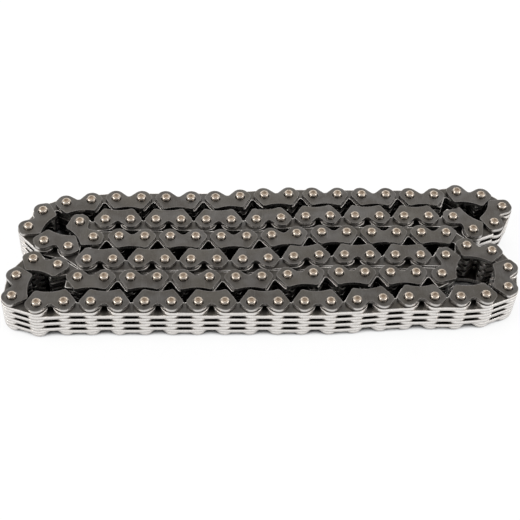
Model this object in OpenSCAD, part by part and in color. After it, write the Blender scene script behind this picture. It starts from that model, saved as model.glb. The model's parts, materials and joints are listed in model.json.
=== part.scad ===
// Silent timing chain: an endless loop of toothed plates and guide plates that
// hinge on riveted pins. It lies on its side, pins upright, flattened to a
// doubled strand and folded in an S, so that six strands lie side by side.
// Strand 1 is the back one (+Y) and strand 6 the front one. All sizes in mm.

/* [Chain] */
// Distance from one pin to the next
pitch = 6.35; // [6.2:0.05:6.5]
// Thickness of every plate
plate_thickness = 1.03; // [0.8:0.01:1.3]
// Side clearance between neighbouring plates on a pin
plate_gap = 0.05; // [0.03:0.01:0.15]

/* [Pins] */
// Diameter of a pin
pin_diameter = 2.2; // [1.8:0.05:2.6]
// How far each pin end stands out of its guide plate
pin_stand = 0.75; // [0.5:0.05:0.9]
// Rounding of the rim of the riveted pin ends
pin_rounding = 0.4; // [0.1:0.05:0.45]
// Diameter of the dished middle of the upper pin ends
dish_diameter = 1.25; // [0.8:0.05:1.3]
// Diameter of the flat at the bottom of the dish
dish_floor = 0.7; // [0.4:0.05:0.8]
// Depth of the dished middle
dish_depth = 0.12; // [0.05:0.01:0.2]
// Radial clearance of a pin in the plates that turn on it
running_clearance = 0.04; // [0.02:0.01:0.09]
// Radial gap left where a pin is riveted into its own plates
rivet_clearance = 0.01; // [0.01:0.005:0.02]

/* [Guide plates] */
// Height of the two shoulders above the line of the pins
guide_height = 3.75; // [3.6:0.05:3.8]
// Rounding of the shoulders
shoulder_radius = 0.8; // [0.6:0.05:1.2]
// How far each shoulder's centre lies outside its pin
shoulder_offset = 0.1; // [-0.2:0.05:0.15]
// Depth of the shallow hollow between the shoulders
hollow_depth = 0.55; // [0.3:0.05:0.7]
// How far each end corner reaches beyond its pin
corner_reach = 2.75; // [2.6:0.05:2.85]
// Rounding of the end corners
corner_radius = 1.35; // [1.1:0.05:1.6]
// How far the end corners lie below the line of the pins
corner_drop = 0.1; // [0:0.05:0.3]
// Depth of the two feet below the line of the pins
guide_depth = 2.5; // [2.4:0.05:2.7]
// Rounding of the feet
foot_radius = 2.1; // [1.8:0.05:2.2]
// How far each foot's centre lies outside its pin
foot_offset = 0.15; // [0:0.05:0.3]
// Depth of solid plate left below the line of the pins, above the notch
notch_top = 0.5; // [0.3:0.05:0.6]
// Rounding at the top of the notch
notch_radius = 0.85; // [0.6:0.05:0.95]
// Bevel round the pin holes on the outer face
hole_bevel = 0.25; // [0.1:0.05:0.3]

/* [Toothed plates] */
// Radius of the rounded ends, and depth of the flat back
end_radius = 2.7; // [2.4:0.05:2.75]
// Height of the two teeth above the line of the pins
tooth_height = 3.6; // [3.3:0.05:3.65]
// How far each tooth's tip lies inside its pin
tooth_inset = 0.75; // [0.5:0.05:1]
// Rounding of the tooth tips
tip_radius = 0.45; // [0.3:0.05:0.6]
// Height of the bottom of the crotch above the line of the pins
crotch_height = 0.55; // [0.3:0.05:0.8]
// Rounding at the bottom of the crotch
crotch_radius = 0.5; // [0.3:0.05:0.7]

/* [Lay] */
// Gap between strands that lie teeth to teeth
teeth_gap = 0.1; // [0.1:0.05:0.5]
// Gap between strands that lie back to back
back_gap = 0.3; // [0.25:0.05:0.6]
// How far the right half of each strand lies behind the left half
sway = 1.6; // [0:0.1:2]
// Room round a pin at the two places where the folded loop is opened
open_room = 0.6; // [0.4:0.05:0.9]

/* [Hidden] */
$fn = 48;
swing_links = 11;
chain_links = 112;

// Plate layers from the underside up: guide plates outermost, inner links on even layers
layers = 9;
layer_step = plate_thickness + plate_gap;
stack_height = layers * layer_step - plate_gap;
pin_length = stack_height + 2 * pin_stand;
pin_radius = pin_diameter / 2;
rivet_hole = pin_radius + rivet_clearance;
running_hole = pin_radius + running_clearance;
guide_layers = [1, layers];
outer_layers = [3, 5, 7];
inner_layers = [2, 4, 6, 8];

// Strands lie teeth to teeth or back to back
teeth_spacing = 2 * max(guide_height, tooth_height) + teeth_gap;
backs_spacing = 2 * max(guide_depth, end_radius) + back_gap;
strand_y = [
    1.5 * teeth_spacing + backs_spacing,
    0.5 * teeth_spacing + backs_spacing,
    0.5 * teeth_spacing,
    -0.5 * teeth_spacing,
    -0.5 * teeth_spacing - backs_spacing,
    -1.5 * teeth_spacing - backs_spacing
];

// Where each strand steps across, in pitches from the middle of the lay
sway_middle = [-0.75, 0.8, 0.8, 0.8, 0.8, 4];
sway_reach = 2;

// The loop in order: each straight run as [strand, first pin in pitches, direction, links],
// then the bend after it as [headings that leave the run, headings that enter the next run, side].
// Between those two the last pin of a bend is set by the two links that meet there.
runs = [
    [1, 7.1, -1, 13], [4, -6.875, 1, 13], [5, 5.825, -1, 13],
    [6, -7.6, 1, 15], [3, 7.3, -1, 13], [2, -6.275, 1, 13]
];
bends = [
    [[187, 189, 207], [343, 319], 1], [[0], [], -1], [[142, 163, 236], [4], 1],
    [[5, 23], [164, 137], 1], [[183], [], -1], [[-1, -44, 23], [169, 191], 1]
];

function along(heading) = pitch * [cos(heading), sin(heading)];
function clamped(value) = max(-1, min(1, value));

// Sideways step of a strand at x
function step_at(strand, x) =
    sway / 2 * sin(90 * clamped((x / pitch - sway_middle[strand - 1]) / sway_reach));

// Pins of a straight run, one pitch apart along its gentle step
function run_from(pin, strand, way, count) =
    count < 1 ? [pin] :
    let (rise = step_at(strand, pin.x + way * pitch) - step_at(strand, pin.x))
    let (slope = atan(rise / pitch))
    concat([pin], run_from(pin + pitch * [way * cos(slope), sin(slope)], strand, way, count - 1));
function run_start(run) =
    [run[1] * pitch, strand_y[run[0] - 1] + step_at(run[0], run[1] * pitch)];
function run_pins(run) = run_from(run_start(run), run[0], run[2], run[3]);

// Pins that follow one another by heading, onwards from a pin or back from it
function onwards(pin, headings, n = 0) =
    n == len(headings) ? [] :
    let (next = pin + along(headings[n])) concat([next], onwards(next, headings, n + 1));
function backwards(pin, headings, n) =
    n < 0 ? [] :
    let (before = pin - along(headings[n])) concat(backwards(before, headings, n - 1), [before]);

// The pin that is one pitch from both of its neighbours, on one side of the line between them
function elbow(from, to, side) =
    let (span = to - from)
    let (reach = sqrt(pitch * pitch - span * span / 4))
    (from + to) / 2 + side * reach * [span.y, -span.x] / norm(span);

function bend_pins(last, bend, first) =
    let (leaving = onwards(last, bend[0]))
    let (entering = backwards(first, bend[1], len(bend[1]) - 1))
    let (from = leaving[len(leaving) - 1])
    let (to = len(entering) > 0 ? entering[0] : first)
    concat(leaving, [elbow(from, to, bend[2])], entering);

function piece_of_loop(n) =
    let (run = run_pins(runs[n]))
    let (next = run_start(runs[(n + 1) % len(runs)]))
    concat(run, bend_pins(run[len(run) - 1], bends[n], next));
loop = [for (n = [0 : len(runs) - 1]) each piece_of_loop(n)];

// Pins in order, with the middle of the lay at the origin; outer links join an even pin to the next
function middle(values) = (min(values) + max(values)) / 2;
lay_middle = [middle([for (pin = loop) pin.x]), middle([for (pin = loop) pin.y])];
pins = [for (n = [0 : chain_links - 1]) loop[(n + chain_links - 2) % chain_links] - lay_middle];
function pin_at(n) = pins[(n + chain_links) % chain_links];

// Links that swing: numbered from the end that is hinged to the folded bundle.
// The front swinging links are half the loop further on than the back ones.
back_end = 20;
front_end = back_end + chain_links / 2;
function swing_outer_pin(end, n) = end - 2 * n;
function swing_inner_pin(end, n) = end + 1 - 2 * n;

// First pins of the outer and inner links that stay in each captive strand
captive = [[94, 108], [76, 92], [20, 36], [38, 52]];
function captive_outer(strand) = [for (n = [captive[strand - 2][0] : 2 : captive[strand - 2][1]]) n];
function captive_inner(strand) = [for (n = captive_outer(strand)) n + 1];

// Inner links whose far end is opened, where a swinging strand leaves the folded bundle
opened = [back_end - 2 * swing_links - 1 + chain_links, front_end - 2 * swing_links - 1];

// Two circles' outer tangent and crossing tangent, as the direction square to it
function outer_normal(from, from_r, to, to_r, side) =
    let (span = to - from)
    atan2(span.y, span.x) + side * acos((from_r - to_r) / norm(span));
function crossing_normal(from, from_r, to, to_r, side) =
    let (span = to - from)
    atan2(span.y, span.x) + side * acos((from_r + to_r) / norm(span));
// Where a line meets a circle: just inside it, so that line and arc cross instead of touching
tuck = 0.002;
function on_circle(centre, radius, angle) = centre + (radius - tuck) * [cos(angle), sin(angle)];
function mirrored(points) = [for (n = [len(points) - 1 : -1 : 0]) [pitch - points[n].x, points[n].y]];

// Guide plate outline, from the notch round the left foot, corner and shoulder
notch_centre = [pitch / 2, -notch_top - notch_radius];
foot_centre = [-foot_offset, foot_radius - guide_depth];
corner_centre = [corner_radius - corner_reach, -corner_drop];
shoulder_centre = [-shoulder_offset, guide_height - shoulder_radius];
notch_flank = crossing_normal(foot_centre, foot_radius, notch_centre, notch_radius, -1);
foot_flank = outer_normal(foot_centre, foot_radius, corner_centre, corner_radius, 1);
shoulder_flank = outer_normal(corner_centre, corner_radius, shoulder_centre, shoulder_radius, 1);
guide_half = [
    on_circle(notch_centre, notch_radius, notch_flank + 180),
    on_circle(foot_centre, foot_radius, notch_flank),
    on_circle(foot_centre, foot_radius, foot_flank),
    on_circle(corner_centre, corner_radius, foot_flank),
    on_circle(corner_centre, corner_radius, shoulder_flank),
    on_circle(shoulder_centre, shoulder_radius, shoulder_flank),
    [shoulder_centre.x, guide_height - tuck]
];
hollow_half = (pitch - shoulder_offset) / 2;
hollow_radius = (hollow_half * hollow_half + hollow_depth * hollow_depth) / (2 * hollow_depth);
hollow_centre = [pitch / 2, guide_height - hollow_depth + hollow_radius];

// Toothed plate outline, from the flat back round the left end to the crotch
tip_centre = [tooth_inset, tooth_height - tip_radius];
crotch_centre = [pitch / 2, crotch_height + crotch_radius];
outer_flank = outer_normal([0, 0], end_radius, tip_centre, tip_radius, 1);
inner_flank = crossing_normal(tip_centre, tip_radius, crotch_centre, crotch_radius, 1);
toothed_half = [
    [0, tuck - end_radius], [0, 0],
    on_circle([0, 0], end_radius, outer_flank),
    on_circle(tip_centre, tip_radius, outer_flank),
    on_circle(tip_centre, tip_radius, inner_flank),
    on_circle(crotch_centre, crotch_radius, inner_flank + 180)
];

guide_colour = [0.36, 0.35, 0.34];
plate_colour = [0.72, 0.71, 0.69];
pin_colour = [0.74, 0.66, 0.57];

function layer_z(layer) = pin_stand + (layer - 1) * layer_step;

// Puts a link's own frame, first pin at its origin and second along +X, on pins n and n + 1
module on_pins(n) {
    start = pin_at(n);
    span = pin_at(n + 1) - start;
    translate([start.x, start.y, 0]) rotate(atan2(span.y, span.x)) children();
}

module at_both_ends(centre) {
    translate(centre) children();
    translate([pitch - centre.x, centre.y]) children();
}

module guide_outline() {
    difference() {
        union() {
            polygon(concat(guide_half, mirrored(guide_half)));
            at_both_ends(foot_centre) circle(foot_radius);
            at_both_ends(corner_centre) circle(corner_radius);
            at_both_ends(shoulder_centre) circle(shoulder_radius);
        }
        translate(notch_centre) circle(notch_radius);
        translate(hollow_centre) circle(hollow_radius, $fn = 96);
    }
}

module toothed_outline() {
    difference() {
        union() {
            polygon(concat(toothed_half, mirrored(toothed_half)));
            at_both_ends([0, 0]) circle(end_radius);
            at_both_ends(tip_centre) circle(tip_radius);
        }
        translate(crotch_centre) circle(crotch_radius);
    }
}

// One guide plate; up is 1 where its outer face looks up and -1 where it looks down
module guide_plate(layer, up) {
    outer_z = layer_z(layer) + (up > 0 ? plate_thickness : 0);
    color(guide_colour) difference() {
        translate([0, 0, layer_z(layer)]) linear_extrude(plate_thickness) guide_outline();
        at_both_ends([0, 0]) {
            cylinder(r = rivet_hole, h = pin_length);
            translate([0, 0, outer_z]) rotate([up > 0 ? 180 : 0, 0, 0])
                cylinder(r1 = rivet_hole + hole_bevel, r2 = rivet_hole, h = hole_bevel);
        }
    }
}

module toothed_plate(layer, hole) {
    color(plate_colour) translate([0, 0, layer_z(layer)]) linear_extrude(plate_thickness) difference() {
        toothed_outline();
        at_both_ends([0, 0]) circle(hole);
    }
}

// A toothed plate cut off short of its second pin, where the loop is opened
module opened_plate(layer) {
    cut = pitch - pin_radius - open_room;
    color(plate_colour) translate([0, 0, layer_z(layer)]) linear_extrude(plate_thickness) difference() {
        toothed_outline();
        circle(running_hole);
        translate([cut, -2 * pitch]) square([2 * pitch, 4 * pitch]);
    }
}

// A pin with rounded rims and a dished upper end, standing on the ground
module pin() {
    rim = [for (angle = [0 : 22.5 : 90]) pin_rounding * [sin(angle), 1 - cos(angle)]];
    lower = [for (point = rim) [pin_radius - pin_rounding + point.x, point.y]];
    upper = [for (n = [len(lower) - 1 : -1 : 0]) [lower[n].x, pin_length - lower[n].y]];
    floor_z = pin_length - dish_depth;
    dish = [[dish_diameter / 2, pin_length], [dish_floor / 2, floor_z], [0, floor_z]];
    color(pin_colour) rotate_extrude() polygon(concat([[0, 0]], lower, upper, dish));
}

module guide_pair() {
    guide_plate(guide_layers[0], -1);
    guide_plate(guide_layers[1], 1);
}
module outer_toothed() {
    for (layer = outer_layers) toothed_plate(layer, rivet_hole);
}
module inner_toothed() {
    for (layer = inner_layers) toothed_plate(layer, running_hole);
}
module inner_opened() {
    for (layer = inner_layers) opened_plate(layer);
}
module pin_pair() {
    at_both_ends([0, 0]) pin();
}

// A whole swinging link on pins n and n + 1
module outer_link(n) {
    on_pins(n) {
        guide_pair();
        outer_toothed();
        pin_pair();
    }
}
module inner_link(n) {
    on_pins(n) inner_toothed();
}

// The pieces of a captive strand
module strand_guide_plates(strand) {
    for (n = captive_outer(strand)) on_pins(n) guide_pair();
}
module strand_outer_toothed_plates(strand) {
    for (n = captive_outer(strand)) on_pins(n) outer_toothed();
}
module strand_inner_toothed_plates(strand) {
    for (n = captive_inner(strand)) on_pins(n) {
        if (n == opened[0] || n == opened[1]) inner_opened();
        else inner_toothed();
    }
}
module strand_pins(strand) {
    for (n = captive_outer(strand)) on_pins(n) pin_pair();
}

for (n = [1 : swing_links]) {
    inner_link(swing_inner_pin(back_end, n));
    outer_link(swing_outer_pin(back_end, n));
    inner_link(swing_inner_pin(front_end, n));
    outer_link(swing_outer_pin(front_end, n));
}
for (s = [2 : 5]) {
    strand_guide_plates(s);
    strand_outer_toothed_plates(s);
    strand_inner_toothed_plates(s);
    strand_pins(s);
}
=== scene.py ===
"""Studio scene of a folded silent timing chain: steel plates and pins on a pale floor."""

import json
import math

import bpy
from mathutils import Matrix, Vector

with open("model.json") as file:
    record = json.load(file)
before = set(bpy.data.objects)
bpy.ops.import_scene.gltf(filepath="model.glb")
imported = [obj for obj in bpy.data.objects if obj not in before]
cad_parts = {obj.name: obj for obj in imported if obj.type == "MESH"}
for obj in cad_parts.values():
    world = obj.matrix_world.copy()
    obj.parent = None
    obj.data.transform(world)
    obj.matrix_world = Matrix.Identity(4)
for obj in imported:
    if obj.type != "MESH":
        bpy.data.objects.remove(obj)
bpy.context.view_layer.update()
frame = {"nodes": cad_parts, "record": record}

MM = 0.001
scene = bpy.context.scene
scene.view_settings.view_transform = "Standard"


def grey(value, warm=0.0):
    return (value * (1 + warm), value, value * (1 - warm), 1.0)


def tone(colour, factor):
    """A colour made lighter or darker, with full alpha."""
    return tuple(c * factor for c in colour) + (1.0,)


# Heights in the plate stack, from the pins' lower ends up
STACK_BOTTOM = 0.75 * MM
STACK_MIDDLE = 5.585 * MM
LAYER_STEP = 1.08 * MM

# Distances from the stack's middle at which guide plates and pin heads begin and pins end
GUIDE_FROM = 3.78 * MM
PIN_HEAD_FROM = 4.85 * MM
PIN_HALF = 5.585 * MM

# Surface patterns, in cells to the metre: lines are stretched along one direction
CLOUD_SCALE = 230.0
TINT_SCALE = 90.0
GRAIN_SCALE = 5200.0
FLECK_SCALE = 2600.0
HAIRLINE_SCALE = (9000.0, 260.0, 260.0)
EDGE_LINE_SCALE = (7000.0, 7000.0, 350.0)

# Two sets of hairlines: direction in radians and share of the face
FIRST_HAIRLINES = (0.5, 0.33)
SECOND_HAIRLINES = (2.1, 0.31)
HAIRLINE_SOFTNESS = 0.05

# How far rays look around: painted shade and oil in recesses, painted highlights on rubbed
# corners and shade on the floor
RECESS_SHADE_REACH = 9.0 * MM
CORNER_REACH = 0.35 * MM
SHADE_REACH = 14.0 * MM

# Fine relief, worn corners and the oil film that goes with the painted shade in recesses
WORN_RADIUS = 0.1 * MM
RELIEF_DEPTH = 0.02 * MM
RELIEF_STRENGTH = 0.12
OIL_WEIGHT = 0.5
OIL_ROUGHNESS = 0.14

HEAD_TAN = (0.25, 0.19, 0.14)
RIM_CREAM = (0.46, 0.4, 0.33, 1.0)
SHOULDER_STEEL = grey(0.55, 0.12)
# Painted highlight on rubbed corners and tooth tips
WEAR_AND_HIGHLIGHT_STEEL = grey(0.88, 0.05)
# Painted shade: dark colour for recesses and around the pin heads
RECESS_SHADE = grey(0.018, 0.1)

WHITE = grey(1.0)
PAPER = grey(0.86)
PAPER_IN_SHADE = grey(0.05)
PAPER_GLOW = 0.84
WORLD_LIGHT = grey(0.5)


class Nodes:
    """Short calls for building the node tree of a material or world."""

    def __init__(self, owner):
        owner.use_nodes = True
        self.tree = owner.node_tree
        self.tree.nodes.clear()

    def add(self, kind, **values):
        node = self.tree.nodes.new(kind)
        for key, value in values.items():
            setattr(node, key, value)
        return node

    def put(self, socket, value):
        if isinstance(value, bpy.types.NodeSocket):
            self.tree.links.new(value, socket)
        else:
            socket.default_value = value

    def math(self, operation, a, b=0.0):
        node = self.add("ShaderNodeMath", operation=operation)
        self.put(node.inputs[0], a)
        self.put(node.inputs[1], b)
        return node.outputs[0]

    def ramp(self, value, low, high, to_low=0.0, to_high=1.0):
        """A smooth step from one level to another as the value goes from low to high."""
        node = self.add("ShaderNodeMapRange", interpolation_type="SMOOTHSTEP")
        self.put(node.inputs["Value"], value)
        self.put(node.inputs["From Min"], low)
        self.put(node.inputs["From Max"], high)
        self.put(node.inputs["To Min"], to_low)
        self.put(node.inputs["To Max"], to_high)
        return node.outputs[0]

    def mix(self, factor, a, b):
        """Two colours, the second by the factor."""
        node = self.add("ShaderNodeMix", data_type="RGBA")
        self.put(node.inputs[0], factor)
        self.put(node.inputs[6], a)
        self.put(node.inputs[7], b)
        return node.outputs[2]

    def blend(self, factor, a, b):
        """Two numbers, the second by the factor."""
        node = self.add("ShaderNodeMix", data_type="FLOAT")
        self.put(node.inputs[0], factor)
        self.put(node.inputs[2], a)
        self.put(node.inputs[3], b)
        return node.outputs[0]

    def either(self, factor, a, b):
        """Two shaders, the second by the factor."""
        node = self.add("ShaderNodeMixShader")
        self.put(node.inputs[0], factor)
        self.put(node.inputs[1], a.outputs[0])
        self.put(node.inputs[2], b.outputs[0])
        return node

    def upward(self, vector):
        """The vector's Z value."""
        node = self.add("ShaderNodeSeparateXYZ")
        self.put(node.inputs[0], vector)
        return node.outputs[2]

    def scaled(self, vector, scale, turn=0.0):
        node = self.add("ShaderNodeMapping")
        self.put(node.inputs["Vector"], vector)
        node.inputs["Scale"].default_value = scale
        node.inputs["Rotation"].default_value = (0.0, 0.0, turn)
        return node.outputs[0]

    def noise(self, vector, scale, detail=2.0, rough=0.5):
        node = self.add("ShaderNodeTexNoise")
        self.put(node.inputs["Vector"], vector)
        node.inputs["Scale"].default_value = scale
        node.inputs["Detail"].default_value = detail
        node.inputs["Roughness"].default_value = rough
        return node.outputs["Fac"]

    def openness(self, reach, **settings):
        """How much of the view around a point is clear, from 0 to 1."""
        node = self.add("ShaderNodeAmbientOcclusion", **settings)
        node.inputs["Distance"].default_value = reach
        return node.outputs["AO"]

    def surface(self, kind, shader):
        out = self.add(kind)
        self.put(out.inputs["Surface"], shader.outputs[0])


def hairlines(n, place, turn, share):
    """Thin hairlines across a face, lying along one direction."""
    lines = n.noise(n.scaled(place, HAIRLINE_SCALE, turn), 1.0, 1.0)
    return n.ramp(lines, 1.0 - share, 1.0 - share + HAIRLINE_SOFTNESS)


def plate_face(n, place, cloud, face):
    """Satin face: cloudy heat tint, tumbled grain, a few hairlines."""
    tint = n.noise(place, TINT_SCALE)
    grain = n.noise(place, GRAIN_SCALE, 2.0, 0.6)
    hair = n.math(
        "MAXIMUM", hairlines(n, place, *FIRST_HAIRLINES), hairlines(n, place, *SECOND_HAIRLINES)
    )
    heat_tint = (face * 1.2, face * 1.08, face * 0.86, 1.0)
    colour = n.mix(n.ramp(cloud, 0.3, 0.7), grey(face * 0.7, 0.12), grey(face * 1.25, 0.05))
    colour = n.mix(n.ramp(tint, 0.4, 0.7, 0.0, 0.5), colour, heat_tint)
    colour = n.mix(n.ramp(grain, 0.35, 0.7, 0.0, 0.45), colour, grey(face * 1.5, 0.07))
    colour = n.mix(n.math("MULTIPLY", hair, 0.35), colour, grey(face * 2.2, 0.05))
    rough = n.ramp(grain, 0.3, 0.7, 0.46, 0.34)
    relief = n.math("SUBTRACT", grain, n.math("MULTIPLY", hair, 0.6))
    return colour, rough, relief


def cut_edge(n, place, height, on_guide, edge, guide_edge):
    """Cut edge: a burnished band above a duller torn one that also carries painted shade between
    layers, with fine upright lines.
    """
    layers_up = n.math("DIVIDE", n.math("SUBTRACT", height, STACK_BOTTOM), LAYER_STEP)
    # Darker lower band of each plate's edge: partly the torn zone, partly painted shade between
    # layers
    torn_and_shaded = n.ramp(n.math("FRACT", layers_up), 0.22, 0.42, 1.0, 0.0)
    lines = n.noise(n.scaled(place, EDGE_LINE_SCALE), 1.0)
    colour = n.mix(on_guide, grey(edge, 0.035), grey(guide_edge, 0.04))
    colour = n.mix(n.math("MULTIPLY", torn_and_shaded, 0.85), colour, grey(edge * 0.22, 0.08))
    colour = n.mix(n.ramp(lines, 0.3, 0.75, 0.5, 0.0), colour, grey(edge * 0.55, 0.03))
    rough = n.math(
        "ADD", n.ramp(lines, 0.3, 0.7, 0.34, 0.24), n.math("MULTIPLY", torn_and_shaded, 0.14)
    )
    return colour, rough, lines


def pin_head(n, place, below_top, flatness):
    """Pin head: a tan dish inside a cream ring with a brighter shoulder."""
    under_rim = n.ramp(below_top, 0.002 * MM, 0.02 * MM)
    in_dish = n.math("MULTIPLY", under_rim, n.ramp(flatness, 0.86, 0.9))
    on_shoulder = n.ramp(flatness, 0.72, 0.94, 1.0, 0.0)
    fleck = n.noise(place, FLECK_SCALE, 3.0, 0.65)
    dish = n.mix(n.ramp(fleck, 0.32, 0.68), tone(HEAD_TAN, 0.78), tone(HEAD_TAN, 1.18))
    dish_rough = n.ramp(fleck, 0.3, 0.7, 0.6, 0.45)
    ring = n.mix(on_shoulder, RIM_CREAM, SHOULDER_STEEL)
    ring_rough = n.blend(on_shoulder, n.ramp(fleck, 0.3, 0.7, 0.54, 0.42), 0.27)
    return n.mix(in_dish, ring, dish), n.blend(in_dish, ring_rough, dish_rough)


def painted_shade_and_highlights(n, height, cloud, on_edge):
    """Masks of painted shade where little light gets in, which also carries an oil film, and of
    corners rubbed bright with painted highlights and glints.
    """
    # Painted shade: darker where the view around is closed in, with less of it near the floor
    reach = n.openness(RECESS_SHADE_REACH, samples=8)
    open_from = n.ramp(height, 0.5 * MM, 3.0 * MM, 0.34, 0.52)
    recess_shade_and_oil = n.ramp(reach, 0.16, open_from, 0.96, 0.0)
    deep_shade = n.ramp(reach, 0.14, 0.4, 1.0, 0.0)

    # Rays shot inwards come out again only near an outer corner
    corner = n.openness(CORNER_REACH, samples=8, inside=True, only_local=True)
    # Painted highlight along outer corners, partly standing for rubbed wear
    wear_and_highlight = n.ramp(corner, 0.6, 0.88, 1.0, 0.0)
    wear_and_highlight = n.math("MULTIPLY", wear_and_highlight, n.ramp(cloud, 0.3, 0.6, 0.55, 1.0))
    # No painted highlight in the deepest painted shade
    wear_and_highlight = n.math("MULTIPLY", wear_and_highlight, n.math("SUBTRACT", 1.0, deep_shade))
    # Painted glints on the tooth tips
    tooth_tip_glint = n.math("MULTIPLY", n.ramp(corner, 0.4, 0.5, 1.0, 0.0), on_edge)
    return recess_shade_and_oil, n.math("MAXIMUM", wear_and_highlight, tooth_tip_glint)


def steel(name, face, edge, guide_edge):
    """Blanked steel plates on riveted pins, from the grey levels of faces and cut edges."""
    material = bpy.data.materials.new(name)
    n = Nodes(material)
    at = n.add("ShaderNodeTexCoord")
    place = at.outputs["Object"]
    height = n.upward(place)
    flatness = n.math("ABSOLUTE", n.upward(at.outputs["Normal"]))
    above_middle = n.math("SUBTRACT", height, STACK_MIDDLE)
    from_middle = n.math("ABSOLUTE", above_middle)
    on_edge = n.ramp(flatness, 0.55, 0.85, 1.0, 0.0)
    on_guide = n.math("GREATER_THAN", above_middle, GUIDE_FROM)
    on_head = n.math("GREATER_THAN", from_middle, PIN_HEAD_FROM)
    cloud = n.noise(place, CLOUD_SCALE, 3.0, 0.6)

    face_colour, face_rough, face_relief = plate_face(n, place, cloud, face)
    edge_colour, edge_rough, edge_relief = cut_edge(n, place, height, on_guide, edge, guide_edge)
    below_top = n.math("SUBTRACT", PIN_HALF, from_middle)
    head_colour, head_rough = pin_head(n, place, below_top, flatness)
    recess_shade_and_oil, wear_and_highlight = painted_shade_and_highlights(n, height, cloud, on_edge)
    # Painted highlight colour for rubbed corners, lighter face steel on the guide plates
    wear_and_highlight_colour = n.mix(on_guide, WEAR_AND_HIGHLIGHT_STEEL, grey(face * 2.0, 0.06))

    colour = n.mix(on_edge, face_colour, edge_colour)
    # Painted shade in recesses
    colour = n.mix(recess_shade_and_oil, colour, RECESS_SHADE)
    # Painted highlights on rubbed corners and tooth tips
    colour = n.mix(wear_and_highlight, colour, wear_and_highlight_colour)
    # Painted shade around the pin heads as well
    colour = n.mix(on_head, colour, n.mix(recess_shade_and_oil, head_colour, RECESS_SHADE))
    rough = n.blend(on_head, n.blend(on_edge, face_rough, edge_rough), head_rough)

    worn = n.add("ShaderNodeBevel", samples=4)
    worn.inputs["Radius"].default_value = WORN_RADIUS
    bump = n.add("ShaderNodeBump")
    n.put(bump.inputs["Normal"], worn.outputs[0])
    n.put(bump.inputs["Height"], n.blend(on_edge, face_relief, edge_relief))
    bump.inputs["Strength"].default_value = RELIEF_STRENGTH
    bump.inputs["Distance"].default_value = RELIEF_DEPTH
    shader = n.add("ShaderNodeBsdfPrincipled")
    n.put(shader.inputs["Base Color"], colour)
    n.put(shader.inputs["Roughness"], rough)
    n.put(shader.inputs["Normal"], bump.outputs[0])
    # Oil film over the painted shade in recesses
    n.put(shader.inputs["Coat Weight"], n.math("MULTIPLY", recess_shade_and_oil, OIL_WEIGHT))
    shader.inputs["Coat Roughness"].default_value = OIL_ROUGHNESS
    shader.inputs["Metallic"].default_value = 1.0
    n.surface("ShaderNodeOutputMaterial", shader)
    return material


plate_steel = {
    "outer_links": steel("outer_link_steel", face=0.088, edge=0.84, guide_edge=0.6),
    "guide_plates": steel("guide_plate_steel", face=0.088, edge=0.84, guide_edge=0.6),
    "toothed_plates": steel("toothed_plate_steel", face=0.075, edge=0.84, guide_edge=0.6),
    "pins": steel("pin_steel", face=0.3, edge=0.7, guide_edge=0.7),
}
slot_of = {part["node"]: part["material_slot"] for part in frame["record"]["subparts"]}
for name, node in frame["nodes"].items():
    node.data.materials.clear()
    node.data.materials.append(plate_steel[slot_of[name]])


def floor_material():
    """White paper that holds the shadow, with painted shade where links close it in."""
    material = bpy.data.materials.new("floor_white")
    n = Nodes(material)
    paths = n.add("ShaderNodeLightPath")
    seen = n.math("MAXIMUM", paths.outputs["Is Camera Ray"], paths.outputs["Is Glossy Ray"])
    seen = n.math("MAXIMUM", seen, paths.outputs["Is Transmission Ray"])
    open_sky = n.openness(SHADE_REACH, samples=16)
    seen = n.math("MULTIPLY", seen, n.ramp(open_sky, 0.24, 0.4))
    paper = n.add("ShaderNodeBsdfDiffuse")
    # Painted shade on the paper where the links close it in
    n.put(paper.inputs["Color"], n.mix(n.ramp(open_sky, 0.12, 0.34), PAPER_IN_SHADE, PAPER))
    glow = n.add("ShaderNodeEmission")
    glow.inputs["Color"].default_value = WHITE
    glow.inputs["Strength"].default_value = 1.0
    glow_share = n.math("MULTIPLY", seen, PAPER_GLOW)
    n.surface("ShaderNodeOutputMaterial", n.either(glow_share, paper, glow))
    return material


FLOOR_HALF = 3.0
FLOOR_DROP = 0.02 * MM
floor_mesh = bpy.data.meshes.new("floor")
floor_mesh.from_pydata(
    [
        (-FLOOR_HALF, -FLOOR_HALF, 0),
        (FLOOR_HALF, -FLOOR_HALF, 0),
        (FLOOR_HALF, FLOOR_HALF, 0),
        (-FLOOR_HALF, FLOOR_HALF, 0),
    ],
    [],
    [(0, 1, 2, 3)],
)
floor = bpy.data.objects.new("floor", floor_mesh)
floor.data.materials.append(floor_material())
floor.location.z = -FLOOR_DROP
scene.collection.objects.link(floor)


def softbox(name, place, width, depth, watts):
    """A soft lamp that points at the chain's middle."""
    data = bpy.data.lights.new(name, "AREA")
    data.shape = "RECTANGLE"
    data.size, data.size_y = width, depth
    data.energy = watts
    lamp = bpy.data.objects.new(name, data)
    lamp.location = place
    lamp.rotation_euler = (CHAIN_MIDDLE - Vector(place)).to_track_quat("-Z", "Y").to_euler()
    scene.collection.objects.link(lamp)


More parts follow.
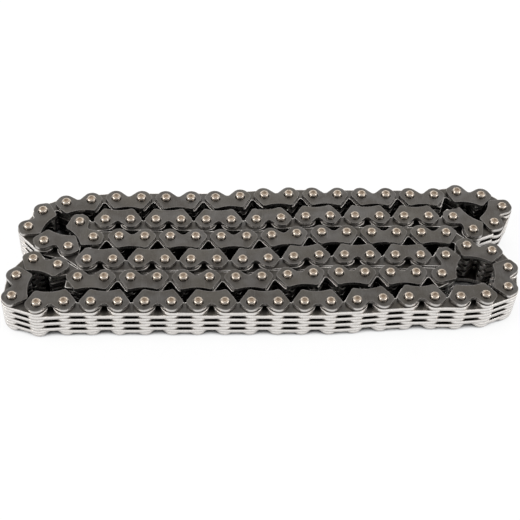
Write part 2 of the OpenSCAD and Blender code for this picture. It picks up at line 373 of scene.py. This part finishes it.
CHAIN_MIDDLE = Vector((0.0, 0.0, 0.005))
softbox("left", place=(-0.62, -0.14, 0.42), width=0.45, depth=0.35, watts=4.4)
softbox("right", place=(0.62, -0.14, 0.42), width=0.45, depth=0.35, watts=3.4)
softbox("back", place=(0.0, 0.6, 0.55), width=0.9, depth=0.3, watts=0.6)
softbox("back_low", place=(0.0, 0.8, 0.27), width=1.5, depth=0.42, watts=5.2)


def studio_world():
    """Even grey light on the chain, seen as white by the camera."""
    world = bpy.data.worlds.new("studio")
    n = Nodes(world)
    paths = n.add("ShaderNodeLightPath")
    light = n.add("ShaderNodeBackground")
    light.inputs["Color"].default_value = WORLD_LIGHT
    backdrop = n.add("ShaderNodeBackground")
    backdrop.inputs["Color"].default_value = WHITE
    shader = n.either(paths.outputs["Is Camera Ray"], light, backdrop)
    n.surface("ShaderNodeOutputWorld", shader)
    return world


scene.world = studio_world()

# Camera: looks down at the chain from the front, turned and rolled a little
ELEVATION = math.radians(48.907)
AZIMUTH = math.radians(5.107)
ROLL = math.radians(3.974)
DISTANCE = 285.75 * MM
AIM = Vector((-1.828, -0.44, 5.0)) * MM
FOCAL_PIXELS = 1131.6
IMAGE_PIXELS = 520
SENSOR = 36.0
NEAR_CLIP = 10.0 * MM

look = Vector(
    (
        math.sin(AZIMUTH) * math.cos(ELEVATION),
        math.cos(AZIMUTH) * math.cos(ELEVATION),
        -math.sin(ELEVATION),
    )
)
level = look.cross(Vector((0, 0, 1))).normalized()
upright = level.cross(look)
right = math.cos(ROLL) * level + math.sin(ROLL) * upright
up = math.cos(ROLL) * upright - math.sin(ROLL) * level
camera_data = bpy.data.cameras.new("camera")
camera_data.sensor_width = SENSOR
camera_data.lens = FOCAL_PIXELS / IMAGE_PIXELS * SENSOR
camera_data.clip_start = NEAR_CLIP
camera = bpy.data.objects.new("camera", camera_data)
turn = Matrix((right, up, -look)).transposed().to_4x4()
camera.matrix_world = Matrix.Translation(AIM - look * DISTANCE) @ turn
scene.collection.objects.link(camera)
scene.camera = camera
